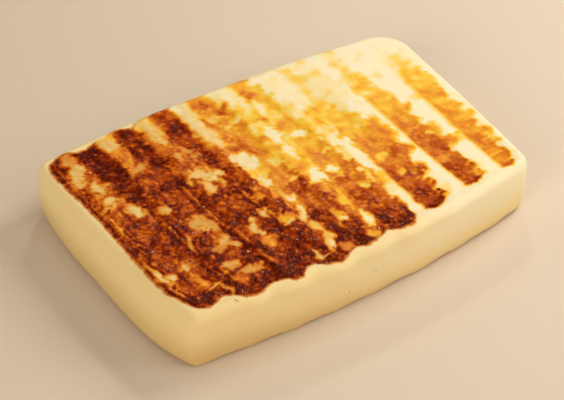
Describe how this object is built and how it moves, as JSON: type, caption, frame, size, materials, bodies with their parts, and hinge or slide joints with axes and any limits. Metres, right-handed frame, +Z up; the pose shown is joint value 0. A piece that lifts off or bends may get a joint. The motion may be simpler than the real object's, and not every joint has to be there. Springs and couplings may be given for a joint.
{
  "type": "grilled coalho cheese",
  "caption": "Rectangular slab of grilled coalho cheese with soft edges, ribbed sear bands across its browned top and a pale smooth wall.",
  "frame": {"origin": "middle of the slab's underside, on the surface it rests on", "axes": "+X along the slab's length, towards its palest end; +Y across it, along the prints of the grill ribs, away from the darkest long edge; +Z up through its thickness"},
  "size_m": [0.1108, 0.075, 0.0162],
  "materials": {
    "cheese": "satin pale yellow cheese with a browned, blistered grill crust on its broad faces"
  },
  "bodies": {
    "root": {"cheese": "cheese"}
  },
  "joints": []
}
